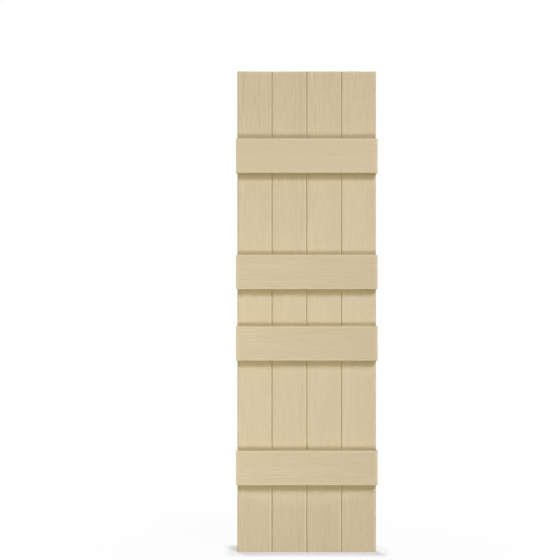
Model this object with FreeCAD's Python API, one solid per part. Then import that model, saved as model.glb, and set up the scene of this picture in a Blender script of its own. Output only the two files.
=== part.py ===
"""Board and batten shutter for the side of a window.

Four upright tongue-and-groove boards stand side by side, and four battens lie across their faces.
Pan-head screws driven from the back hold every board to every batten, so no fixing shows in front. Each head
seats in a counterbore, just below the wall face.

Frame, in millimetres: +X to the right seen from the front, -Y out of the face, +Z up.
The origin is the centre of the wall face, the flat back of the boards.
"""

import FreeCAD
import Part
import os

# Boards
shutter_height = 1295.0  # 51 in
board_names = ["outer_left", "inner_left", "inner_right", "outer_right"]
board_width = 93.0  # face of one board, without its tongue
board_thickness = 19.0
joint_gap = 0.5  # room for the boards to swell
joint_chamfer = 1.5  # each half of the V along a joint
tongue_length = 8.0
tongue_thickness = 6.0
tongue_tip_chamfer = 1.2
groove_clearance = 0.25  # on each side of a tongue and past its tip

# Battens
batten_width = 92.5
batten_thickness = 19.0
batten_overhang = 3.0  # past the boards at each end
batten_edge_radius = 2.0
end_batten_inset = 229.0  # end of the boards to the centre line of the nearest batten
middle_batten_spacing = 191.5  # between the centre lines of the two middle battens
middle_pair_lift = 11.0  # the middle pair sits this far above half height

# Screws, one to each crossing of a board and a batten
screw_head_radius = 3.2
screw_head_height = 2.1
screw_head_sink = 0.4  # the head lies this far below the wall face
screw_shank_radius = 1.75
screw_cover = 5.0  # left of the batten between the screw's tip and the front
screw_zigzag = 18.0  # by turns above and below the batten's centre line
hole_clearance = 0.1  # round the head and shank and past the tip

# Places that follow from the sizes above
board_pitch = board_width + joint_gap
panel_width = len(board_names) * board_pitch - joint_gap
face_y = -board_thickness
batten_centres = {
    "top": shutter_height / 2 - end_batten_inset,
    "upper_middle": middle_pair_lift + middle_batten_spacing / 2,
    "lower_middle": middle_pair_lift - middle_batten_spacing / 2,
    "bottom": end_batten_inset - shutter_height / 2,
}


def prism(points, height):
    """An upright prism, centred on z = 0, over an outline of (x, y) points."""
    corners = [FreeCAD.Vector(x, y, -height / 2) for x, y in points]
    outline = Part.makePolygon(corners + corners[:1])
    return Part.Face(outline).extrude(FreeCAD.Vector(0, 0, height))


def board_left_edge(index):
    """x of a board's left shoulder."""
    return index * board_pitch - panel_width / 2


def plank(left):
    """A plain board whose face edges are chamfered into halves of a V-joint."""
    right = left + board_width
    return prism(
        [
            (left, 0),
            (right, 0),
            (right, face_y + joint_chamfer),
            (right - joint_chamfer, face_y),
            (left + joint_chamfer, face_y),
            (left, face_y + joint_chamfer),
        ],
        shutter_height,
    )


def tongue(shoulder, oversize=0.0):
    """The tongue past a right shoulder. Oversize on every side, it is the cutter of the next groove."""
    half = tongue_thickness / 2 + oversize
    middle = face_y / 2
    tip = shoulder + tongue_length + oversize
    outline = [
        (shoulder, middle - half),
        (tip - tongue_tip_chamfer, middle - half),
        (tip, middle - half + tongue_tip_chamfer),
        (tip, middle + half - tongue_tip_chamfer),
        (tip - tongue_tip_chamfer, middle + half),
        (shoulder, middle + half),
    ]
    return prism(outline, shutter_height)


def turned(profile):
    """A solid turned round the Y axis from an outline of (radius, y) points that starts and ends on it."""
    points = [FreeCAD.Vector(radius, y, 0) for radius, y in profile]
    face = Part.Face(Part.makePolygon(points + points[:1]))
    return face.revolve(FreeCAD.Vector(0, 0, 0), FreeCAD.Vector(0, 1, 0), 360)


def screw_outline(top, spare):
    """Half outline of a screw along -Y, its head cut off at depth top, with spare room round head and shank."""
    head = screw_head_radius + spare
    shank = screw_shank_radius + spare
    seat = -(screw_head_sink + screw_head_height)
    tip = screw_cover - board_thickness - batten_thickness - spare
    return [(0, -top), (head, -top), (head, seat), (shank, seat), (shank, tip), (0, tip)]


def screw_body():
    """One screw, to stand with the origin on the wall face, over the middle of its head."""
    return turned(screw_outline(screw_head_sink, 0.0))


def screw_hole():
    """What is drilled for one screw: a counterbore for the head, open at the wall face, and a blind hole."""
    return turned(screw_outline(0.0, hole_clearance))


def screw_places():
    """Each screw's name and its place on the wall face."""
    for batten_name, centre in batten_centres.items():
        for index, board_name in enumerate(board_names):
            x = board_left_edge(index) + board_width / 2
            z = centre + screw_zigzag * (-1) ** index
            yield f"screw_{batten_name}_{board_name}", FreeCAD.Vector(x, 0, z)


def board(index):
    """One board: a tongue on its right edge, a groove in its left edge, and plain outer edges."""
    left = board_left_edge(index)
    solid = plank(left)
    if index < len(board_names) - 1:
        solid = solid.fuse(tongue(left + board_width))
    if index > 0:
        shoulder_before = left - joint_gap
        solid = solid.cut(tongue(shoulder_before, groove_clearance))
    return solid.removeSplitter()


def batten(centre):
    """One batten across the faces of the boards, rounded along the edges of its own face."""
    length = panel_width + 2 * batten_overhang
    front_y = face_y - batten_thickness
    corner = FreeCAD.Vector(-length / 2, front_y, centre - batten_width / 2)
    solid = Part.makeBox(length, batten_thickness, batten_width, corner)
    front_edges = [edge for edge in solid.Edges if edge.BoundBox.YMax < front_y + batten_edge_radius]
    return solid.makeFillet(batten_edge_radius, front_edges)


def build():
    """Every node's solid by name, with the boards and battens drilled for the screws."""
    holes = []
    nodes = {}
    for name, place in screw_places():
        holes.append(screw_hole().translated(place))
        nodes[name] = screw_body().translated(place)
    drill = Part.makeCompound(holes)
    for index, name in enumerate(board_names):
        nodes[f"board_{name}"] = board(index).cut(drill)
    for name, centre in batten_centres.items():
        nodes[f"batten_{name}"] = batten(centre).cut(drill)
    return nodes


os.makedirs("parts", exist_ok=True)
for node, shape in build().items():
    (solid,) = shape.Solids
    solid.exportStep(os.path.join("parts", f"{node}.step"))
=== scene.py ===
"""Dresses the board and batten shutter: embossed tan planks, and the screws that hold their battens.

Lengths are in metres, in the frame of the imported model: +X to the right seen from the front, -Y out of the
face, +Z up, with the origin on the wall face, which is the flat back of the boards.
"""

import logging
import math
import random
from collections.abc import Callable, Mapping, Sequence
from dataclasses import dataclass, field
from enum import Enum
from typing import Any

import bmesh
import bpy
from mathutils import Matrix, Vector


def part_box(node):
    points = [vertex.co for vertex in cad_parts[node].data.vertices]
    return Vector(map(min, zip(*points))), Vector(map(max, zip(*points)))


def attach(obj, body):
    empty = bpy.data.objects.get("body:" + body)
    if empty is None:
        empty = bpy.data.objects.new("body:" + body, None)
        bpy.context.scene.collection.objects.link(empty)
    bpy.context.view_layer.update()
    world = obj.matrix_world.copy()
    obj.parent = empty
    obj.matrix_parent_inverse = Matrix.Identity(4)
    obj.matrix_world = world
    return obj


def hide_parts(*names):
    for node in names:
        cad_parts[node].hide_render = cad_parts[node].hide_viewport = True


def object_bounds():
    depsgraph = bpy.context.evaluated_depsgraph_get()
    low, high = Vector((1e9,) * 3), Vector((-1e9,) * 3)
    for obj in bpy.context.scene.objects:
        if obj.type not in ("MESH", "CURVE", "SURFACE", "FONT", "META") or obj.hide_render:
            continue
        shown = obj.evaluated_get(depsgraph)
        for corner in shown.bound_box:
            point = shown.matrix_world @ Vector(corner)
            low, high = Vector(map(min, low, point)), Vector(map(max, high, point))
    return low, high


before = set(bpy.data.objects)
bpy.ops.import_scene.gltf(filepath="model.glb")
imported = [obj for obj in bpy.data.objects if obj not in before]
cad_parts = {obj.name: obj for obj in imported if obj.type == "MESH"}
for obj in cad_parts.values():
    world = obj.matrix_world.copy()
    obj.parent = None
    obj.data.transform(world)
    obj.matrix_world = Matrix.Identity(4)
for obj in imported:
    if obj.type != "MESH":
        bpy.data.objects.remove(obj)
cad_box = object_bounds()
log = logging.getLogger("shutter")

MM = 0.001
TOUCH = 0.005 * MM  # two places closer than this count as one
RELIEF = "grain_relief"  # attribute of an embossed face: 0 on its ridges, 1 in its deepest grooves
EMBOSSED = "embossed_face"  # vertex group of the points that the roller presses in
RIM_LIGHT_AND_SHADE = "rim"  # attribute of a plank's front: more than 0 where it is painted paler as a highlight, less than 0 where painted darker as shade
MEAN_OFFSET = 0.383  # mean distance of a square's points from its middle, over its side
BORDER = 0.2 * MM  # points nearer than this to the border of a face count as on it
LEDGE_DUST_AND_SHADE = 0.34  # share of dirt colour on edges that look up, as dust and as painted shade
JOINT_DIRT_AND_SHADE = 0.25  # share of dirt colour on the chamfers along the boards, as dirt and painted shade, and of painted shade beside them
SQUARE = 0.9  # a face whose normal has more than this share along an axis lies square to that axis
FACING = 0.5  # a face whose normal has more than this share out of the front looks that way
SLANTED = 0.8  # and does so at a slant if it has less than this

Span = tuple[float, float]
Colour = tuple[float, float, float]
Step = tuple[float, float, float]


def deselect_all() -> None:
    """Leaves no object selected."""
    bpy.ops.object.select_all(action="DESELECT")


def make_active(piece: bpy.types.Object) -> None:
    """Makes a piece the active object, and the only selected one.

    Args:
        piece: The piece.
    """
    deselect_all()
    piece.select_set(True)
    bpy.context.view_layer.objects.active = piece


def set_in_mesh(name: str, scale: Step = (1.0, 1.0, 1.0)) -> bpy.types.Object:
    """Names the primitive that was just added, and moves its place, turn and scale into its mesh.

    Args:
        name: The name of the object and of its mesh.
        scale: Scale to give the primitive first, along its own axes.

    Returns:
        The object, at the origin.
    """
    piece = bpy.context.object
    piece.name = name
    piece.data.name = name
    piece.scale = scale
    bpy.ops.object.transform_apply(location=True, rotation=True, scale=True)
    return piece


def add_cylinder(name: str, sides: int, radius: float, ends: Span, axis: Vector) -> bpy.types.Object:
    """Adds a cylinder along Y.

    Args:
        name: The name of the new object.
        sides: How many sides it has.
        radius: Its radius.
        ends: y of its two ends, the lower one first.
        axis: A point on its axis.

    Returns:
        The new object.
    """
    low, high = ends
    deselect_all()
    bpy.ops.mesh.primitive_cylinder_add(
        vertices=sides,
        radius=radius,
        depth=high - low,
        location=(axis.x, (low + high) / 2, axis.z),
        rotation=(math.pi / 2, 0.0, 0.0),
        calc_uvs=False,
    )
    return set_in_mesh(name)


def discard(piece: bpy.types.Object) -> None:
    """Removes a helper object and its mesh.

    Args:
        piece: The helper.
    """
    mesh = piece.data
    bpy.data.objects.remove(piece)
    if mesh is not None:
        bpy.data.meshes.remove(mesh)


def cut_away(piece: bpy.types.Object, cutter: bpy.types.Object) -> None:
    """Cuts one object's shape out of another.

    Args:
        piece: What is cut.
        cutter: The shape to take away, which is removed.
    """
    make_active(piece)
    change = piece.modifiers.new("cut", "BOOLEAN")
    change.operation = "DIFFERENCE"
    change.solver = "MANIFOLD"
    change.object = cutter
    bpy.ops.object.modifier_apply(modifier=change.name)
    piece.data.materials.clear()  # the cut leaves empty slots
    discard(cutter)


@dataclass(frozen=True)
class EditBench:
    """Edit mode on one mesh, with the modelling operators as short verbs.

    It is used as a context: edit mode starts with nothing selected, and ends with the block.
    """

    piece: bpy.types.Object

    def __enter__(self) -> "EditBench":
        """Opens the piece in edit mode, picking by vertices.

        Returns:
            The bench.
        """
        make_active(self.piece)
        bpy.ops.object.mode_set(mode="EDIT")
        bpy.ops.mesh.select_mode(type="VERT")
        bpy.ops.mesh.select_all(action="DESELECT")
        return self

    def __exit__(self, *problem: object) -> None:
        """Goes back to object mode."""
        bpy.ops.object.mode_set(mode="OBJECT")

    def pick(self, test: Callable[[Vector], bool]) -> None:
        """Selects the vertices whose place passes a test, with the edges and faces between them.

        Args:
            test: Says of a place whether it is wanted.
        """
        mesh = bmesh.from_edit_mesh(self.piece.data)
        for vertex in mesh.verts:
            vertex.select = test(vertex.co)
        mesh.select_flush_mode()
        bmesh.update_edit_mesh(self.piece.data)

    def extrude(self, step: Step) -> None:
        """Extrudes the selection by one step."""
        bpy.ops.mesh.extrude_region_move(TRANSFORM_OT_translate={"value": step})

    def resize(self, factors: Step, centre: Vector) -> None:
        """Scales the selection about a point."""
        bpy.ops.transform.resize(value=factors, center_override=centre)

    def inset(self, width: float) -> None:
        """Insets the selected face."""
        bpy.ops.mesh.inset(thickness=width)

    def bevel(self, width: float, segments: int) -> None:
        """Rounds the selected edges."""
        bpy.ops.mesh.bevel(offset=width, segments=segments, affect="EDGES")

    def fill(self) -> None:
        """Closes the selected ring of edges with a face."""
        bpy.ops.mesh.edge_face_add()

    def bridge(self) -> None:
        """Joins the two selected runs of edges by faces."""
        bpy.ops.mesh.bridge_edge_loops()

    def turn_outwards(self) -> None:
        """Makes every face point out of the closed shape."""
        bpy.ops.mesh.select_all(action="SELECT")
        bpy.ops.mesh.normals_make_consistent(inside=False)


@dataclass(frozen=True)
class FaceArea:
    """The flat face of a plank, which looks out of the front."""

    left: float
    right: float
    bottom: float
    top: float
    front: float

    @property
    def width(self) -> float:
        """Size along X."""
        return self.right - self.left

    @property
    def height(self) -> float:
        """Size along Z."""
        return self.top - self.bottom

    @property
    def middle(self) -> Vector:
        """The point in its middle."""
        return Vector(((self.left + self.right) / 2, self.front, (self.bottom + self.top) / 2))

    def inset(self, place: Vector) -> float:
        """How far a place lies inside the border, less than 0 outside it."""
        return min(place.x - self.left, self.right - place.x, place.z - self.bottom, self.top - place.z)

    def holds(self, place: Vector) -> bool:
        """Whether a place lies on the flat, inside the border."""
        return abs(place.y - self.front) < TOUCH and self.inset(place) > BORDER

    def add_grid(self, name: str, cells: Span) -> bpy.types.Object:
        """Adds the face as a grid.

        Args:
            name: The name of the new object.
            cells: Size of a cell of the grid, along X and along Z.

        Returns:
            The new object.
        """
        deselect_all()
        bpy.ops.mesh.primitive_grid_add(
            x_subdivisions=round(self.width / cells[0]),
            y_subdivisions=round(self.height / cells[1]),
            size=1.0,
            calc_uvs=False,
            location=self.middle,
            rotation=(math.pi / 2, 0.0, 0.0),
        )
        return set_in_mesh(name, (self.width, self.height, 1.0))


@dataclass(frozen=True)
class RimLightAndShade:
    """Highlight and shade painted along the border of a plank's face: more than 0 is painted paler, less is
    darker.
    """

    left: float  # value on the left border
    right: float  # value on the right border
    ends: float  # value on the top and bottom borders
    outside: float = 0.0  # value past the border
    width: float = 2.5 * MM  # of the border
    left_width: float = 2.5 * MM
    foot_growth: float = 0.0  # of the right border's width at the foot, over its width higher up
    foot_reach: float = 300 * MM  # height over which that growth fades

    def value(self, area: FaceArea, place: Vector) -> float:
        """The value of the RIM_LIGHT_AND_SHADE attribute at a place.

        Args:
            area: The face.
            place: A place on it.

        Returns:
            The value.
        """
        end = max(1.0 - min(place.z - area.bottom, area.top - place.z) / self.width, 0.0)
        left = max(1.0 - (place.x - area.left) / self.left_width, 0.0)
        growth = self.foot_growth * max(1.0 - (place.z - area.bottom) / self.foot_reach, 0.0)
        right = max(1.0 - (area.right - place.x) / (self.width * (1.0 + growth)), 0.0)
        return max(self.ends * end, self.right * right) + self.left * left

    def mark(self, piece: bpy.types.Object, area: FaceArea) -> None:
        """Writes the RIM_LIGHT_AND_SHADE attribute of a plank.

        Args:
            piece: The plank.
            area: Its face.
        """
        rim = piece.data.attributes.new(RIM_LIGHT_AND_SHADE, "FLOAT", "POINT")
        for vertex in piece.data.vertices:
            place = vertex.co
            in_front = abs(place.y - area.front) < BORDER
            if in_front and area.inset(place) > -BORDER:
                rim.data[vertex.index].value = self.value(area, place)
            elif area.inset(place) < 0.0:
                rim.data[vertex.index].value = self.outside


def smooth_below(piece: bpy.types.Object, degrees: float) -> None:
    """Shades a piece smooth over edges that turn less than an angle."""
    make_active(piece)
    bpy.ops.object.shade_smooth_by_angle(angle=math.radians(degrees))


class Grain(Enum):
    """Which way the grain of a plank runs: the number of its axis."""

    CROSSWISE = 0
    UPRIGHT = 2

    @property
    def turned(self) -> "Grain":
        """The other way."""
        return Grain(Grain.CROSSWISE.value + Grain.UPRIGHT.value - self.value)

    def sizes(self, across: float, along: float) -> Step:
        """One size for each axis: along the grain on its own axis, and across it on the others."""
        return tuple(along if axis == self.value else across for axis in range(3))


class Figure(Enum):
    """Figures on the embossing roller: the type of texture that draws each of them, and its settings."""

    RINGS = (
        "WOOD",
        {"wood_type": "RINGNOISE", "noise_basis_2": "SIN", "noise_scale": 0.6, "turbulence": 3.0},
    )
    FLECKS = ("CLOUDS", {"noise_basis": "IMPROVED_PERLIN", "noise_scale": 1.0, "noise_depth": 1})
    KNOT = ("BLEND", {"progression": "SPHERICAL"})


@dataclass(frozen=True)
class EmbossPass:
    """One figure that the roller presses into the face of a plank."""

    figure: Figure
    across: float  # size of the figure across the grain
    along: float  # size of the figure along the grain
    depth: float
    groove: Span = (0.0, 1.0)  # values of the figure where its grooves start and reach their depth

    def texture(self) -> bpy.types.Texture:
        """Makes the texture that draws the figure.

        Returns:
            A texture that is 0 on the ridges and 1 in the grooves.
        """
        kind, settings = self.figure.value
        texture = bpy.data.textures.new(self.figure.name.lower(), type=kind)
        for name, value in settings.items():
            setattr(texture, name, value)
        texture.use_color_ramp = True
        for stop, place, level in zip(texture.color_ramp.elements, self.groove, (0.0, 1.0)):
            stop.position = place
            stop.color = (level, level, level, 1.0)
        return texture

    def press(self, piece: bpy.types.Object, grain: Grain, centre: Step) -> None:
        """Presses the figure into the embossed face of a piece, inwards only.

        Args:
            piece: The plank.
            grain: Which way the figure is drawn out.
            centre: The point that the figure is drawn round.
        """
        deselect_all()
        bpy.ops.object.empty_add(location=centre)
        guide = bpy.context.object
        guide.scale = grain.sizes(self.across, self.along)
        bpy.context.view_layer.update()
        make_active(piece)
        texture = self.texture()
        change = piece.modifiers.new("emboss", "DISPLACE")
        change.texture = texture
        change.texture_coords = "OBJECT"
        change.texture_coords_object = guide
        change.direction = "Y"
        change.mid_level = 0.0
        change.strength = self.depth
        change.vertex_group = EMBOSSED
        bpy.ops.object.modifier_apply(modifier=change.name)
        discard(guide)
        bpy.data.textures.remove(texture)


@dataclass(frozen=True)
class EmbossRoller:
    """The figures that make up the wood grain on the face of a plank."""

    grain: Grain
    knots: tuple[Span, ...] = ()  # of each pin knot, its place across the grain and from the low end
    swell: EmbossPass = EmbossPass(Figure.FLECKS, 40 * MM, 700 * MM, 0.14 * MM)
    rings: EmbossPass = EmbossPass(Figure.RINGS, 17 * MM, 1000 * MM, 0.2 * MM, (0.66, 0.97))
    flecks: EmbossPass = EmbossPass(Figure.FLECKS, 1.5 * MM, 55 * MM, 0.22 * MM, (0.56, 0.74))
    pin_knot: EmbossPass = EmbossPass(Figure.KNOT, 4 * MM, 8 * MM, 0.35 * MM, (0.1, 0.7))
    heart_offset: Span = (6 * MM, 40 * MM)  # of the middle of the rings, to one side of the plank's middle
    heart_reach: Span = (50 * MM, 350 * MM)  # of that middle past one end, so that arches rise from it
    heart_depth: float = 9 * MM  # of that middle behind the face
    stray: float = 1.0  # how far the other figures are shifted, either way

    def press(self, piece: bpy.types.Object, area: FaceArea, seed: int) -> None:
        """Embosses the face of a plank and writes how deep each point went to the RELIEF attribute.

        Args:
            piece: The plank.
            area: Its face.
            seed: Sets the figures' places on this plank.
        """
        draw = random.Random(seed)
        mesh = piece.data
        face = [vertex.index for vertex in mesh.vertices if area.holds(vertex.co)]
        piece.vertex_groups.new(name=EMBOSSED).add(face, 1.0, "REPLACE")
        flat = {index: mesh.vertices[index].co.y for index in face}
        for figure in (self.swell, self.flecks):
            shift = Vector(draw.uniform(-self.stray, self.stray) for _ in range(3))
            figure.press(piece, self.grain, area.middle + shift)
        length = max(area.width, area.height)
        side = draw.choice((-1.0, 1.0)) * draw.uniform(*self.heart_offset)
        end = draw.choice((-1.0, 1.0)) * (length / 2 + draw.uniform(*self.heart_reach))
        heart = Vector(self.grain.sizes(side, end))
        heart.y = self.heart_depth
        self.rings.press(piece, self.grain, area.middle + heart)
        low_end = Vector((area.left, area.front, area.bottom))[self.grain.value]
        for across, along in self.knots:
            centre = area.middle + Vector(self.grain.sizes(across, 0.0))
            centre.y = area.front
            centre[self.grain.value] = low_end + along
            self.pin_knot.press(piece, self.grain, centre)
        piece.vertex_groups.clear()
        depth = self.swell.depth + self.rings.depth + self.flecks.depth
        relief = mesh.attributes.new(RELIEF, "FLOAT", "POINT")
        for index, start in flat.items():
            relief.data[index].value = (mesh.vertices[index].co.y - start) / depth


@dataclass(frozen=True)
class Wire:
    """One output of a shader node. An expression on wires and numbers adds Math nodes."""

    desk: "ShaderDesk"
    node: bpy.types.Node
    output: str | int

    @property
    def socket(self) -> bpy.types.NodeSocket:
        """The output socket."""
        return named_socket(self.node.outputs, self.output)

    def other(self, output: str | int) -> "Wire":
        """Another output of the same node."""
        return Wire(self.desk, self.node, output)

    def __add__(self, value: "Wire | float") -> "Wire":
        """Sum."""
        return self.desk.math("ADD", self, value)

    __radd__ = __add__

    def __sub__(self, value: "Wire | float") -> "Wire":
        """Difference."""
        return self.desk.math("SUBTRACT", self, value)

    def __rsub__(self, value: float) -> "Wire":
        """Difference from a number on the left."""
        return self.desk.math("SUBTRACT", value, self)

    def __mul__(self, value: "Wire | float") -> "Wire":
        """Product."""
        return self.desk.math("MULTIPLY", self, value)

    __rmul__ = __mul__

    def larger(self, value: "Wire | float") -> "Wire":
        """The larger of two values."""
        return self.desk.math("MAXIMUM", self, value)

    def smaller(self, value: "Wire | float") -> "Wire":
        """The smaller of two values."""
        return self.desk.math("MINIMUM", self, value)


def named_socket(sockets: Sequence[bpy.types.NodeSocket], key: str | int) -> bpy.types.NodeSocket:
    """Finds a socket among a node's inputs or outputs, by its identifier or its number."""
    return sockets[key] if isinstance(key, int) else next(one for one in sockets if one.identifier == key)


class ShaderDesk:
    """The node tree of one material or world."""

    def __init__(self, owner: bpy.types.Material | bpy.types.World) -> None:
        """Empties a node tree to start afresh.

        Args:
            owner: What the tree belongs to.
        """
        owner.use_nodes = True
        self.tree = owner.node_tree
        self.tree.nodes.clear()

    def node(
        self,
        kind: str,
        settings: Mapping[str, Any] | None = None,
        inputs: Mapping[str | int, Any] | None = None,
        output: str | int = 0,
    ) -> Wire:
        """Adds a node.

        Args:
            kind: The node's type.
            settings: Properties of the node, set first.
            inputs: A wire or a value for each input socket that isn't left at its default.
            output: The output socket that the wire stands for.

        Returns:
            A wire from that output.
        """
        node = self.tree.nodes.new(kind)
        for name, value in (settings or {}).items():
            setattr(node, name, value)
        for key, value in (inputs or {}).items():
            socket = named_socket(node.inputs, key)
            if isinstance(value, Wire):
                self.tree.links.new(value.socket, socket)
            else:
                socket.default_value = value
        return Wire(self, node, output)

    def math(self, operation: str, left: Wire | float, right: Wire | float) -> Wire:
        """Adds a Math node on two values."""
        return self.node("ShaderNodeMath", {"operation": operation}, {0: left, 1: right})

    def vector_math(self, operation: str, *values: Wire | Step) -> Wire:
        """Adds a Vector Math node on one or two vectors."""
        return self.node("ShaderNodeVectorMath", {"operation": operation}, dict(enumerate(values)))

    def place(self) -> Wire:
        """The place on the object, in metres."""
        return self.node("ShaderNodeTexCoord", output="Object")

    def attribute(self, name: str) -> Wire:
        """A value that the mesh holds at each point."""
        return self.node("ShaderNodeAttribute", {"attribute_name": name}, output="Fac")

    def blend(self, share: Wire, first: Wire | Colour, second: Wire | Colour) -> Wire:
        """Mixes two colours.

        Args:
            share: From 0, all first, to 1, all second.
            first: One colour.
            second: The other colour.

        Returns:
            The mixed colour.
        """
        first, second = (side if isinstance(side, Wire) else (*side, 1.0) for side in (first, second))
        return self.node(
            "ShaderNodeMix",
            {"data_type": "RGBA", "clamp_factor": True},
            {"Factor_Float": share, "A_Color": first, "B_Color": second},
            "Result_Color",
        )

    def ramp(self, value: Wire, start: Span, end: Span) -> Wire:
        """A value that eases from one level to another, and stays level outside that.

        Args:
            value: The value that it follows.
            start: Where it starts to ease, and its level there.
            end: Where it stops, and its level there.

        Returns:
            The eased value.
        """
        return self.node(
            "ShaderNodeMapRange",
            {"interpolation_type": "SMOOTHSTEP"},
            {"Value": value, "From Min": start[0], "To Min": start[1], "From Max": end[0], "To Max": end[1]},
        )

    def bump(self, height: Wire, depth: float) -> Wire:
        """The normal of a bumpy surface, from its height in units of a depth in metres."""
        return self.node("ShaderNodeBump", inputs={"Height": height, "Distance": depth, "Strength": 1.0})

    def surface(self, inputs: Mapping[str, Any]) -> None:
        """Ends a material in a Principled shader with these inputs."""
        shader = self.node("ShaderNodeBsdfPrincipled", inputs=inputs)
        self.node("ShaderNodeOutputMaterial", inputs={"Surface": shader})


@dataclass(frozen=True)
class Layer:
    """Noise in a finish, with the shares of it that the tone, the roughness and the height get."""

    across: float  # size across the grain
    along: float  # size along the grain
    tone: float = 0.0
    rough: float = 0.0
    rise: float = 0.0
    detail: float = 2.0  # how many finer layers it has
    marks: Span | None = None  # if it makes marks, the values of the noise where they start and are full
    turned: bool = False  # whether it runs across the grain instead

    def wire(self, desk: ShaderDesk, grain: Grain, shift: float = 0.0) -> Wire:
        """Adds the layer to a material.

        Args:
            desk: The material's desk.
            grain: Which way the grain runs.
            shift: Moves the noise, so that like pieces differ.

        Returns:
            Noise round 0, of about half a unit either way, or marks from 0 to 1.
        """
        sizes = (grain.turned if self.turned else grain).sizes(self.across, self.along)
        place = desk.node(
            "ShaderNodeMapping",
            inputs={
                "Vector": desk.place(),
                "Location": (shift, shift, shift),
                "Scale": tuple(1.0 / size for size in sizes),
            },
        )
        grey = desk.node("ShaderNodeTexNoise", inputs={"Vector": place, "Scale": 1.0, "Detail": self.detail})
        noise = grey - 0.5
        if self.marks is None:
            return noise
        start, full = self.marks
        return desk.ramp(noise, (start, 0.0), (full, 1.0))


@dataclass(frozen=True)
class PlankColour:
    """The tan that the planks are coloured through with, as two tones that mingle in it."""

    pale: Colour = (0.70, 0.597, 0.375)
    deep: Colour = (0.58, 0.494, 0.305)
    rim_highlight: Colour = (0.82, 0.715, 0.476)  # pale colour painted on the arrises as a highlight
    dirt_and_shade: Colour = (0.30, 0.25, 0.08)  # colour of dust on ledges, also laid on as painted shade in corners, beside joints and on ledges


@dataclass(frozen=True)
class PlankTone:
    """How the colour of one plank's face differs from its neighbours'."""

    depth: float  # how much deeper the whole face is coloured
    painted_side_shade: float  # painted shade: how much deeper the tone grows from its left end to its right end, as the light falls off
    figure: Span  # strength of the grain's colours and of the shade painted in its grooves, at half its height and lower, and at its top


@dataclass(frozen=True)
class EmbossedFace:
    """Face of a plank with pressed wood grain, a highlight painted on its arrises and shade painted in its
    corners.
    """

    grain: Grain
    seed: int
    area: FaceArea
    tone: PlankTone
    crossings: tuple[Span, ...] = ()  # lowest and highest z of each piece that lies across the face
    colour: PlankColour = PlankColour()
    cloud: Layer = Layer(38 * MM, 500 * MM, tone=0.4)
    band: Layer = Layer(9.0 * MM, 80 * MM, tone=0.25)
    streak: Layer = Layer(3.2 * MM, 55 * MM, tone=0.65, rough=0.2)
    fibre: Layer = Layer(0.4 * MM, 12 * MM, rise=0.5)
    pore: Span = (0.08, 0.2)  # values of the fibre noise where pores start and reach their depth
    base_tone: float = 0.44  # share of the deep tone, to which the layers add
    painted_groove_shade: float = 0.4
    pore_tone: float = 0.2
    shade_above: Span = (0.55, 12 * MM)  # share of painted shade, in the dirt colour, on the face above a piece across it, and its reach
    shade_below: Span = (0.3, 18 * MM)
    shade_lift: float = 1.26  # for each metre up, growth of the reach above, and loss of the reach below
    roughness: float = 0.5
    relief_rough: float = 0.2
    rim_polish: float = 0.14
    dirt_and_shade_rough: float = 0.3
    specular: float = 0.35
    pore_depth: float = 0.12 * MM

    def painted_corner_shade(self, desk: ShaderDesk, height: Wire, waver: Wire) -> Wire | float:
        """The share of painted shade, in the dirt colour, above and below the pieces that lie across the
        face.

        Args:
            desk: The material's desk.
            height: z on the face.
            waver: Makes the painted shade's border uneven.

        Returns:
            The share.
        """
        dirt_and_shade = 0.0
        for low, high in self.crossings:
            sides = (
                (height - high, self.shade_above, math.exp(self.shade_lift * high)),
                (low - height, self.shade_below, math.exp(-self.shade_lift * low)),
            )
            above, below = (
                desk.ramp(away + waver * (reach * growth), (0.0, share), (reach * growth, 0.0))
                for away, (share, reach), growth in sides
            )
            dirt_and_shade = dirt_and_shade + above.smaller(below)
        return dirt_and_shade

    def material(self) -> bpy.types.Material:
        """Makes the material.

        Returns:
            The material.
        """
        material = bpy.data.materials.new(f"embossed_face_{self.seed}")
        desk = ShaderDesk(material)
        layers = (self.cloud, self.band, self.streak, self.fibre)
        cloud, band, streak, fibre = (layer.wire(desk, self.grain, self.seed) for layer in layers)
        pore = desk.ramp(fibre, (self.pore[0], 0.0), (self.pore[1], 1.0))
        relief = desk.attribute(RELIEF)
        border = desk.attribute(RIM_LIGHT_AND_SHADE) * (1.0 + band)
        rim = border.larger(0.0)
        across = desk.node("ShaderNodeSeparateXYZ", inputs={"Vector": desk.place()}, output="X")
        height = across.other("Z")
        # Painted shade: the tone deepens from left to right across the face.
        side_shade = (across - self.area.middle.x) * (self.tone.painted_side_shade / self.area.width)
        figure = band * self.band.tone + streak * self.streak.tone
        # Painted shade: the embossed grooves are coloured darker the deeper they go.
        figure = figure + relief * self.painted_groove_shade + pore * self.pore_tone
        low_strength, top_strength = self.tone.figure
        strength = desk.ramp(height, (self.area.middle.z, low_strength), (self.area.top, top_strength))
        depth = self.base_tone + self.tone.depth + side_shade + cloud * self.cloud.tone + figure * strength
        # Painted shade: the dirt colour darkens the face above and below each batten, and beside each
        # board's left border.
        dirt_and_shade = self.painted_corner_shade(desk, height, streak) + JOINT_DIRT_AND_SHADE * (0.0 - border).larger(0.0)
        # Painted highlight: the face is blended to a paler colour where the rim attribute is above 0.
        unshaded = desk.blend(rim, desk.blend(depth, self.colour.pale, self.colour.deep), self.colour.rim_highlight)
        roughness = self.roughness + self.streak.rough * streak + self.relief_rough * relief
        desk.surface(
            {
                "Base Color": desk.blend(dirt_and_shade, unshaded, self.colour.dirt_and_shade),
                "Roughness": roughness - self.rim_polish * rim + self.dirt_and_shade_rough * dirt_and_shade,
                "Specular IOR Level": self.specular,
                "Normal": desk.bump(fibre * self.fibre.rise - pore, self.pore_depth),
            }
        )
        return material


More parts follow.
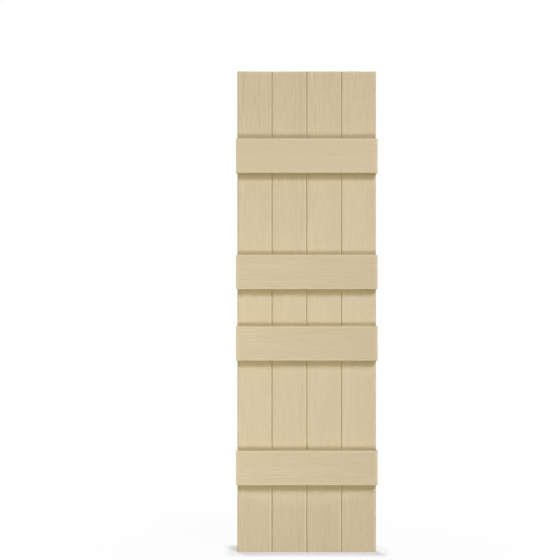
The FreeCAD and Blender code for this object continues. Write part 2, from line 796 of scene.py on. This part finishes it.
@dataclass(frozen=True)
class LayeredFinish:
    """A finish of two tones that mingle by its layers."""

    grain: Grain
    name: str
    layers: tuple[Layer, ...]
    base_tone: float  # share of the deep tone, to which the layers add
    roughness: float
    depth: float  # of its bumps
    specular: float = 0.35
    metallic: float = 0.0
    pale: Colour = PlankColour.pale
    deep: Colour = PlankColour.deep
    dirt_and_shade: float = 0.0  # share of dirt colour laid on it, as dust and as painted shade
    patch: Layer = Layer(14 * MM, 14 * MM, tone=1.2, rough=0.4, detail=4.0)  # of that dirt and painted shade

    def material(self) -> bpy.types.Material:
        """Makes the material.

        Returns:
            The material.
        """
        material = bpy.data.materials.new(self.name.format(grain=self.grain.name.lower()))
        desk = ShaderDesk(material)
        tone, rough, height = self.base_tone, self.roughness, 0.0
        for layer in self.layers:
            wire = layer.wire(desk, self.grain)
            tone = tone + wire * layer.tone
            rough = rough + wire * layer.rough
            height = height + wire * layer.rise
        colour = desk.blend(tone, self.pale, self.deep)
        # Dirt colour laid on in patches, as dust and as painted shade.
        if self.dirt_and_shade > 0.0:
            dirt_and_shade = self.dirt_and_shade * (1.0 + self.patch.wire(desk, self.grain) * self.patch.tone)
            colour = desk.blend(dirt_and_shade, colour, PlankColour.dirt_and_shade)
            rough = rough + dirt_and_shade * self.patch.rough
        desk.surface(
            {
                "Base Color": colour,
                "Metallic": self.metallic,
                "Roughness": rough,
                "Specular IOR Level": self.specular,
                "Normal": desk.bump(height, self.depth),
            }
        )
        return material


@dataclass(frozen=True)
class PlainSkin(LayeredFinish):
    """Smooth back and edges of a plank, with fine lines along its length and rub marks beside them."""

    name: str = "plain_skin_{grain}"
    layers: tuple[Layer, ...] = (
        Layer(60 * MM, 400 * MM, tone=0.8, rough=0.1),  # slow drift
        Layer(1.1 * MM, 600 * MM, tone=0.9, rough=0.15, rise=1.0),  # lines
        Layer(2.2 * MM, 2.2 * MM, tone=0.3, rise=0.5),  # mottle
        Layer(3.5 * MM, 70 * MM, tone=0.45, rough=0.18, rise=-0.3, detail=4.0, marks=(0.1, 0.24)),  # rubbing
    )
    base_tone: float = 0.35
    roughness: float = 0.46
    depth: float = 0.05 * MM


@dataclass(frozen=True)
class SawnEnd(LayeredFinish):
    """End of a plank as the saw left it: matt, with fine cells and the marks of the teeth."""

    name: str = "sawn_end_{grain}"
    layers: tuple[Layer, ...] = (
        Layer(0.7 * MM, 0.7 * MM, tone=1.3, rough=0.1, rise=0.5),  # cells
        Layer(15.6 * MM, 1.3 * MM, tone=0.9, rise=1.0, turned=True),  # tooth marks
    )
    base_tone: float = 0.5
    roughness: float = 0.72
    depth: float = 0.08 * MM
    specular: float = 0.3


@dataclass(frozen=True)
class ZincPlate(LayeredFinish):
    """Dull zinc on the screws, in patches, with a faint yellow cast."""

    grain: Grain = Grain.UPRIGHT  # either will do, as its patches are round
    name: str = "zinc_plate"
    layers: tuple[Layer, ...] = (Layer(1.5 * MM, 1.5 * MM, tone=1.0, rough=0.3, rise=1.0, detail=3.0),)
    base_tone: float = 0.5
    roughness: float = 0.38
    depth: float = 0.01 * MM
    specular: float = 0.5
    metallic: float = 1.0
    pale: Colour = (0.62, 0.60, 0.55)
    deep: Colour = (0.42, 0.40, 0.36)


def dress_plank(piece: bpy.types.Object, front: EmbossedFace) -> None:
    """Gives a plank its embossed face, plain skin and sawn ends, by the way that each face looks.

    Args:
        piece: The plank.
        front: The finish of its face.
    """
    grain = front.grain
    # Board chamfers and batten ledges get a plain skin darkened by dirt colour, as dust and as painted
    # shade.
    dirt_and_shade = JOINT_DIRT_AND_SHADE if grain is Grain.UPRIGHT else LEDGE_DUST_AND_SHADE
    for finish in (front, PlainSkin(grain), SawnEnd(grain), PlainSkin(grain, dirt_and_shade=dirt_and_shade)):
        piece.data.materials.append(finish.material())
    embossed, plain, sawn, dirt_and_shade_slot = range(4)
    for face in piece.data.polygons:
        if abs(face.normal[grain.value]) > SQUARE:
            face.material_index = sawn
        elif grain is Grain.UPRIGHT and FACING < -face.normal.y < SLANTED:
            face.material_index = dirt_and_shade_slot
        elif -face.normal.y > FACING:
            face.material_index = embossed
        elif face.normal.z > SQUARE:
            face.material_index = dirt_and_shade_slot
        else:
            face.material_index = plain


@dataclass(frozen=True)
class ScrewHole:
    """A counterbore in the wall face with a blind hole behind it."""

    head_radius: float = 3.3 * MM
    head_depth: float = 2.5 * MM
    shank_radius: float = 1.85 * MM
    depth: float = 33.1 * MM
    sides: int = 32
    proud: float = 2.0 * MM  # how far the cutter stands out of the wall face

    def cutter(self, axis: Vector) -> bpy.types.Object:
        """Makes the shape to cut away for one screw.

        Args:
            axis: A point on the screw's axis.

        Returns:
            The cutter.
        """
        ends = (-self.head_depth, self.proud)
        cutter = add_cylinder("screw_hole", self.sides, self.head_radius, ends, axis)
        with EditBench(cutter) as bench:
            bench.pick(lambda place: abs(place.y + self.head_depth) < TOUCH)
            bench.inset(self.head_radius - self.shank_radius)
            bench.extrude((0.0, self.head_depth - self.depth, 0.0))
        return cutter


def screw_nodes() -> list[str]:
    """Every screw's node."""
    return [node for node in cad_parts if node.startswith("screw_")]


def middle_of(node: str) -> Vector:
    """The middle of a node's box."""
    low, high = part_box(node)
    return (low + high) / 2


def batten_spans() -> tuple[Span, ...]:
    """Lowest and highest z of every batten."""
    boxes = [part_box(node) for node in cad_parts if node.startswith("batten_")]
    return tuple((low.z, high.z) for low, high in boxes)


def drill(piece: bpy.types.Object, name: str) -> None:
    """Drills a plank for the screws that hold it.

    Args:
        piece: The plank.
        name: Its name, which is part of the names of its screws' nodes.
    """
    for node in screw_nodes():
        if f"_{name}_" in f"{node}_":
            cut_away(piece, ScrewHole().cutter(middle_of(node)))


@dataclass(frozen=True)
class JointKey:
    """The tongue on one edge of a board, or the groove in the next one that takes it."""

    depth: float
    thickness: float
    tip_chamfer: float = 1.2 * MM


@dataclass
class PlankSet:
    """Planks of one kind: each is modelled, drilled for its screws, rim-painted with light and shade,
    embossed and coloured.
    """

    kind: str  # first word of the planks' nodes, and their material slot
    tones: Mapping[str, PlankTone]  # of each plank, by the rest of its node
    cells: Span  # of the grid that a face starts as, along X and along Z
    roller: EmbossRoller
    rim_light_and_shade: RimLightAndShade
    first_seed: int
    crossings: tuple[Span, ...] = ()  # lowest and highest z of each piece that lies across the faces
    smooth_angle: float = 35.0  # edges that turn less are shaded smooth
    pieces: dict[str, bpy.types.Object] = field(default_factory=dict)
    fronts: dict[str, EmbossedFace] = field(default_factory=dict)

    def build(self) -> None:
        """Models every plank and embosses its face."""
        for seed, (name, tone) in enumerate(self.tones.items(), self.first_seed):
            node = f"{self.kind}_{name}"
            piece, area = self.plank(node)
            drill(piece, name)
            smooth_below(piece, self.smooth_angle)
            self.rim_light_and_shade.mark(piece, area)
            self.roller.press(piece, area, seed)
            self.pieces[node] = piece
            self.fronts[node] = EmbossedFace(self.roller.grain, seed, area, tone, self.crossings)

    def plank(self, node: str) -> tuple[bpy.types.Object, FaceArea]:
        """Models one plank, which each kind does in its own way.

        Args:
            node: The plank's node.

        Returns:
            The plank, not drilled yet, and its flat face.
        """
        raise NotImplementedError

    def dress(self) -> None:
        """Gives every plank its finishes and its place in the model."""
        for node, piece in self.pieces.items():
            dress_plank(piece, self.fronts[node])
            hand_over(piece, node)


@dataclass
class BoardPanel(PlankSet):
    """Four upright boards, joined edge to edge by tongues and grooves."""

    kind: str = "board"
    tones: Mapping[str, PlankTone] = field(
        default_factory=lambda: {
            "outer_left": PlankTone(-0.17, 0.2, (1.2, 2.4)),
            "inner_left": PlankTone(0.0, 0.2, (1.05, 2.0)),
            "inner_right": PlankTone(0.04, 0.2, (1.0, 2.2)),
            "outer_right": PlankTone(0.0, 0.2, (1.0, 1.9)),
        }
    )
    cells: Span = (0.36 * MM, 5.5 * MM)
    roller: EmbossRoller = EmbossRoller(Grain.UPRIGHT, knots=((5 * MM, 58 * MM),))
    # Painted shade along each board's left border, a painted highlight along its right border that widens at
    # the foot, and paler ends.
    rim_light_and_shade: RimLightAndShade = RimLightAndShade(left=-0.25, right=0.7, ends=0.23, left_width=8 * MM, foot_growth=1.8)
    first_seed: int = 11
    crossings: tuple[Span, ...] = field(default_factory=batten_spans)
    chamfer: float = 1.5 * MM
    tongue: JointKey = JointKey(8.0 * MM, 6.0 * MM)
    groove: JointKey = JointKey(7.75 * MM, 6.5 * MM)
    end_ease: float = 0.4 * MM
    end_segments: int = 2

    def edge_steps(self, thickness: float, side: int, key: JointKey | None) -> list[Step]:
        """Steps from the border of the face round one edge of a board to the wall face.

        Args:
            thickness: The board's thickness.
            side: 1 for the right edge, -1 for the left one.
            key: The tongue or groove of that edge.

        Returns:
            The steps.
        """
        first = (side * self.chamfer, self.chamfer, 0.0)
        if key is None:
            return [first, (0.0, thickness - self.chamfer, 0.0)]
        shoulder = (thickness - key.thickness) / 2
        tip = key.tip_chamfer
        reach = key.depth - tip
        return [
            first,
            (0.0, shoulder - self.chamfer, 0.0),
            (reach, 0.0, 0.0),
            (tip, tip, 0.0),
            (0.0, key.thickness - 2 * tip, 0.0),
            (-tip, tip, 0.0),
            (-reach, 0.0, 0.0),
            (0.0, shoulder, 0.0),
        ]

    def plank(self, node: str) -> tuple[bpy.types.Object, FaceArea]:
        """Models one board: its face first, then round both edges to the back, then the ends.

        Args:
            node: The board's node.

        Returns:
            The board, not drilled yet, and its flat face.
        """
        first, *_, last = self.tones
        groove = None if node.endswith(first) else self.groove
        tongue = None if node.endswith(last) else self.tongue
        low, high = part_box(node)
        thickness = high.y - low.y
        left = low.x + self.chamfer
        right = high.x - self.chamfer - (tongue.depth if tongue else 0.0)
        piece = FaceArea(left, right, low.z, high.z, low.y).add_grid(f"plank_{node}", self.cells)
        with EditBench(piece) as bench:
            for border, side, key in ((left, -1, groove), (right, 1, tongue)):
                bench.pick(lambda place: abs(place.x - border) < TOUCH and abs(place.y - low.y) < TOUCH)
                for step in self.edge_steps(thickness, side, key):
                    bench.extrude(step)
            bench.pick(lambda place: abs(place.y - high.y) < TOUCH)
            bench.bridge()
            for end in (low.z, high.z):
                bench.pick(lambda place: abs(place.z - end) < TOUCH)
                bench.fill()
            bench.turn_outwards()
            for end in (low.z, high.z):
                bench.pick(lambda place: abs(place.z - end) < TOUCH)
                bench.bevel(self.end_ease, self.end_segments)
        return piece, FaceArea(left, right, low.z + self.end_ease, high.z - self.end_ease, low.y)


@dataclass
class BattenSet(PlankSet):
    """Four battens across the faces of the boards, rounded along the edges of their faces."""

    kind: str = "batten"
    tones: Mapping[str, PlankTone] = field(
        default_factory=lambda: {
            "top": PlankTone(0.05, 0.15, (0.2, 0.2)),
            "upper_middle": PlankTone(0.2, 0.6, (1.5, 1.5)),
            "lower_middle": PlankTone(0.2, 0.6, (1.5, 1.5)),
            "bottom": PlankTone(0.0, 0.4, (1.3, 1.3)),
        }
    )
    cells: Span = (5.5 * MM, 0.36 * MM)
    roller: EmbossRoller = EmbossRoller(Grain.CROSSWISE)
    # Painted highlight along every arris of a batten, its rounded edges too.
    rim_light_and_shade: RimLightAndShade = RimLightAndShade(left=0.29, right=0.29, ends=0.29, outside=0.29)
    first_seed: int = 41
    edge_radius: float = 2.0 * MM
    edge_segments: int = 5

    def plank(self, node: str) -> tuple[bpy.types.Object, FaceArea]:
        """Models one batten: its face first, then the rounded border, then the sides and the back.

        Args:
            node: The batten's node.

        Returns:
            The batten, not drilled yet, and its flat face.
        """
        low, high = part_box(node)
        radius = self.edge_radius
        area = FaceArea(low.x + radius, high.x - radius, low.z + radius, high.z - radius, low.y)
        piece = area.add_grid(f"cross_{node}", self.cells)
        with EditBench(piece) as bench:
            bench.pick(lambda place: area.inset(place) < BORDER)
            reach, depth = 0.0, 0.0
            for number in range(1, self.edge_segments + 1):
                angle = number / self.edge_segments * math.pi / 2
                next_reach = radius * math.sin(angle)
                next_depth = radius * (1 - math.cos(angle))
                bench.extrude((0.0, next_depth - depth, 0.0))
                grow_x, grow_z = (
                    (size + 2 * next_reach) / (size + 2 * reach) for size in (area.width, area.height)
                )
                bench.resize((grow_x, 1.0, grow_z), area.middle)
                reach, depth = next_reach, next_depth
            bench.extrude((0.0, high.y - low.y - radius, 0.0))
            bench.fill()
            bench.turn_outwards()
        return piece, area


@dataclass
class ScrewSet:
    """Pan-head screws, one behind each crossing, with a cross recess in the head."""

    sides: int = 48
    dome: float = 1.1 * MM  # rounding of the head's rim
    dome_segments: int = 6
    recess_length: float = 3.6 * MM
    recess_width: float = 0.85 * MM
    recess_depth: float = 1.3 * MM
    recess_taper: float = 0.45  # of its floor to its mouth
    seat: float = 2.5 * MM  # depth of the head's underside below the wall face
    shank_radius: float = 1.75 * MM
    tip_length: float = 4.0 * MM
    tip_taper: float = 0.12
    smooth_angle: float = 40.0  # edges that turn less are shaded smooth
    seed: int = 71
    pieces: dict[str, bpy.types.Object] = field(default_factory=dict)

    def build(self) -> None:
        """Models one screw and puts a copy at each place, turned as the driver left it."""
        nodes = screw_nodes()
        draw = random.Random(self.seed)
        pattern = self.screw(nodes[0])
        start = middle_of(nodes[0])
        for node in nodes:
            piece = pattern.copy()
            piece.data = pattern.data.copy()
            piece.name = node.replace("screw", "pan_screw")
            piece.data.name = piece.name
            bpy.context.collection.objects.link(piece)
            turn = Matrix.Rotation(draw.uniform(0.0, math.pi / 2), 4, "Y")
            piece.data.transform(Matrix.Translation(middle_of(node)) @ turn @ Matrix.Translation(-start))
            self.pieces[node] = piece
        discard(pattern)

    def screw(self, node: str) -> bpy.types.Object:
        """Models a screw in the place of a node.

        Args:
            node: The node.

        Returns:
            The screw.
        """
        low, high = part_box(node)
        centre = middle_of(node)
        radius = (high.x - low.x) / 2
        seat = -self.seat
        piece = add_cylinder("screw_pattern", self.sides, radius, (seat, high.y), centre)
        with EditBench(piece) as bench:
            bench.pick(lambda place: abs(place.y - high.y) < TOUCH)
            bench.bevel(self.dome, self.dome_segments)
            bench.pick(lambda place: abs(place.y - seat) < TOUCH)
            bench.inset(radius - self.shank_radius)
            bench.extrude((0.0, low.y - seat + self.tip_length, 0.0))
            bench.extrude((0.0, -self.tip_length, 0.0))
            bench.resize((self.tip_taper, 1.0, self.tip_taper), centre)
        for turn in (0.0, math.pi / 2):
            cut_away(piece, self.recess_arm(Vector((centre.x, high.y, centre.z)), turn))
        smooth_below(piece, self.smooth_angle)
        return piece

    def recess_arm(self, mouth: Vector, turn: float) -> bpy.types.Object:
        """Makes one arm of the cross recess, tapered to its floor.

        Args:
            mouth: Middle of the top of the head.
            turn: Turn of the arm about the screw.

        Returns:
            The cutter.
        """
        deselect_all()
        bpy.ops.mesh.primitive_cube_add(size=1.0, calc_uvs=False, location=mouth, rotation=(0.0, turn, 0.0))
        arm = set_in_mesh("recess_arm", (self.recess_length, 2 * self.recess_depth, self.recess_width))
        with EditBench(arm) as bench:
            bench.pick(lambda place: place.y < mouth.y)
            bench.resize((self.recess_taper, 1.0, self.recess_taper), mouth)
        return arm

    def dress(self) -> None:
        """Gives every screw its finish and its place in the model."""
        zinc = ZincPlate().material()
        for node, piece in self.pieces.items():
            piece.data.materials.append(zinc)
            hand_over(piece, node)


def hand_over(piece: bpy.types.Object, node: str) -> None:
    """Puts a finished piece in the place of its node.

    Args:
        piece: The piece.
        node: The node that it stands for.
    """
    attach(piece, "root")
    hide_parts(node)
    log.info("%s stands for %s with %d faces", piece.name, node, len(piece.data.polygons))


@dataclass(frozen=True)
class PaleFloor:
    """Floor that looks white, keeps the shutter's shadow near its foot and throws little light back."""

    foot: Step  # half the size of what stands on it
    seen: float = 0.84  # brightness to the eye
    thrown: float = 0.12  # brightness to other light
    contact_white: float = 0.28  # share of white in what the eye sees at the foot, over the shaded floor
    near_white: float = 0.94  # the same where the contact shadow ends
    contact_reach: float = 0.045
    shadow_reach: float = 0.8  # where the floor looks all white

    def material(self) -> bpy.types.Material:
        """Makes the material.

        Returns:
            The material.
        """
        material = bpy.data.materials.new("pale_floor")
        material.cycles.emission_sampling = "NONE"  # its white is for the eye and lights nothing
        desk = ShaderDesk(material)
        outside = desk.vector_math("SUBTRACT", desk.vector_math("ABSOLUTE", desk.place()), self.foot)
        past_foot = desk.vector_math("MAXIMUM", outside, (0.0, 0.0, 0.0))
        away = desk.vector_math("LENGTH", past_foot).other("Value")
        contact = desk.ramp(away, (0.0, self.contact_white), (self.contact_reach, self.near_white))
        further = desk.ramp(away, (self.contact_reach, 0.0), (self.shadow_reach, 1.0 - self.near_white))
        whiteness = contact + further
        thrown, shaded = (
            desk.node("ShaderNodeBsdfDiffuse", inputs={"Color": (grey, grey, grey, 1.0)})
            for grey in (self.thrown, self.seen)
        )
        white = desk.node("ShaderNodeEmission", inputs={"Strength": 1.0})
        looks = desk.node("ShaderNodeMixShader", inputs={0: whiteness, 1: shaded, 2: white})
        both = desk.node("ShaderNodeMixShader", inputs={0: seen_by_eye(desk), 1: thrown, 2: looks})
        desk.node("ShaderNodeOutputMaterial", inputs={"Surface": both})
        return material


@dataclass(frozen=True)
class WhiteSurround:
    """Surroundings that look white and give a little even light."""

    fill: Colour = (0.11, 0.09, 0.05)

    def world(self) -> bpy.types.World:
        """Makes the world.

        Returns:
            The world.
        """
        world = bpy.data.worlds.new("white_surround")
        desk = ShaderDesk(world)
        dim, white = (
            desk.node("ShaderNodeBackground", inputs={"Color": (*colour, 1.0), "Strength": 1.0})
            for colour in (self.fill, (1.0, 1.0, 1.0))
        )
        both = desk.node("ShaderNodeMixShader", inputs={0: seen_by_eye(desk), 1: dim, 2: white})
        desk.node("ShaderNodeOutputWorld", inputs={"Surface": both})
        return world


def seen_by_eye(desk: ShaderDesk) -> Wire:
    """1 where the camera sees a surface, straight, mirrored or through glass."""
    straight = desk.node("ShaderNodeLightPath", output="Is Camera Ray")
    return straight.larger(straight.other("Is Glossy Ray")).larger(straight.other("Is Transmission Ray"))


@dataclass(frozen=True)
class Lamp:
    """A lamp that faces the shutter."""

    name: str
    azimuth: float  # degrees to the right of straight in front
    elevation: float
    level: float  # the share of plain light that it gives an upright face that it looks at
    colour: Colour

    @property
    def way(self) -> Vector:
        """The way from the shutter to the lamp."""
        turn, lift = math.radians(self.azimuth), math.radians(self.elevation)
        return Vector((math.sin(turn) * math.cos(lift), -math.cos(turn) * math.cos(lift), math.sin(lift)))

    def add(self, kind: str, place: Vector) -> bpy.types.Light:
        """Adds the lamp, turned to the shutter.

        Args:
            kind: Blender's type of lamp.
            place: Where it stands.

        Returns:
            The lamp's settings.
        """
        deselect_all()
        bpy.ops.object.light_add(type=kind, location=place)
        lamp = bpy.context.object
        lamp.name = self.name
        lamp.rotation_euler = self.way.to_track_quat("Z", "Y").to_euler()
        lamp.visible_camera = False
        lamp.data.color = self.colour
        return lamp.data


@dataclass(frozen=True)
class ConeLamp(Lamp):
    """A square lamp whose light dims towards the border of a cone."""

    distance: float
    side: float
    spread: float  # angle of its cone of light, in degrees
    drop: float = 0.0  # of the point that it faces below the middle of the shutter

    def build(self, middle: Vector) -> None:
        """Adds the lamp.

        Args:
            middle: Middle of the shutter.
        """
        lamp = self.add("AREA", middle - Vector((0.0, 0.0, self.drop)) + self.way * self.distance)
        lamp.size = self.side
        lamp.spread = math.radians(self.spread)
        half_spread = lamp.spread / 2
        cone = math.tan(half_spread)
        gain = 1.0 / (1.0 - half_spread / cone)  # of a narrow cone over open light, on its axis
        loss = 1.0 - MEAN_OFFSET * self.side / self.distance / cone  # the lamp's rim looks past the shutter
        lamp.energy = self.level * (math.pi * self.distance) ** 2 / abs(self.way.y) / gain / loss


@dataclass(frozen=True)
class EvenLamp(Lamp):
    """A far lamp, which gives the same light all over."""

    angle: float  # that it fills, seen from the shutter, in degrees

    def build(self, middle: Vector) -> None:
        """Adds the lamp.

        Args:
            middle: Middle of the shutter.
        """
        lamp = self.add("SUN", middle + self.way)
        lamp.angle = math.radians(self.angle)
        lamp.energy = self.level * math.pi / abs(self.way.y)


@dataclass(frozen=True)
class Studio:
    """Floor, surroundings, lamps and camera."""

    floor_side: float = 14.0
    floor_drop: float = 0.5 * MM  # of the floor below the board ends
    eye: Step = (-0.072, -3.219, 0.0855)
    lens: float = 76.34
    sensor: float = 36.0
    lamps: tuple[ConeLamp | EvenLamp, ...] = (
        ConeLamp("key", 33.0, 40.0, 0.45, (0.95, 0.98, 1.25), distance=7.0, side=2.1, spread=35.0, drop=0.1),
        ConeLamp("low_fill", -24.0, -29.0, 0.38, (0.98, 0.98, 1.0), distance=4.0, side=1.6, spread=48.0),
        EvenLamp("front_fill", -6.0, 8.0, 0.12, (1.2, 1.0, 0.4), angle=20.0),
        EvenLamp("back_light", 205.0, 22.0, 0.74, (1.0, 1.0, 1.0), angle=20.0),
        EvenLamp("right_light", 106.0, 14.0, 0.07, (1.0, 1.0, 1.0), angle=20.0),
    )

    def build(self) -> None:
        """Sets up everything round the shutter."""
        scene = bpy.context.scene
        scene.view_settings.view_transform = "Standard"
        scene.world = WhiteSurround().world()
        low, high = cad_box
        self.add_floor(low[2] - self.floor_drop)
        middle = (Vector(low) + Vector(high)) / 2
        for lamp in self.lamps:
            lamp.build(middle)
        deselect_all()
        bpy.ops.object.camera_add(location=self.eye, rotation=(math.pi / 2, 0.0, 0.0))
        camera = bpy.context.object
        camera.data.lens = self.lens
        camera.data.sensor_width = self.sensor
        scene.camera = camera

    def add_floor(self, height: float) -> None:
        """Adds the floor, which lets the low lamp through.

        Args:
            height: z of the floor.
        """
        deselect_all()
        bpy.ops.mesh.primitive_plane_add(size=self.floor_side, location=(0.0, 0.0, height))
        floor = set_in_mesh("floor")
        floor.visible_shadow = False
        foot = (cad_box[1][0], -cad_box[0][1], abs(height))
        floor.data.materials.append(PaleFloor(foot).material())


def main() -> None:
    """Builds the shutter and the studio in order."""
    logging.basicConfig(level=logging.INFO, format="%(message)s")
    for assembly in (BoardPanel(), BattenSet(), ScrewSet()):
        assembly.build()
        assembly.dress()
    Studio().build()


if __name__ == "__main__":
    main()
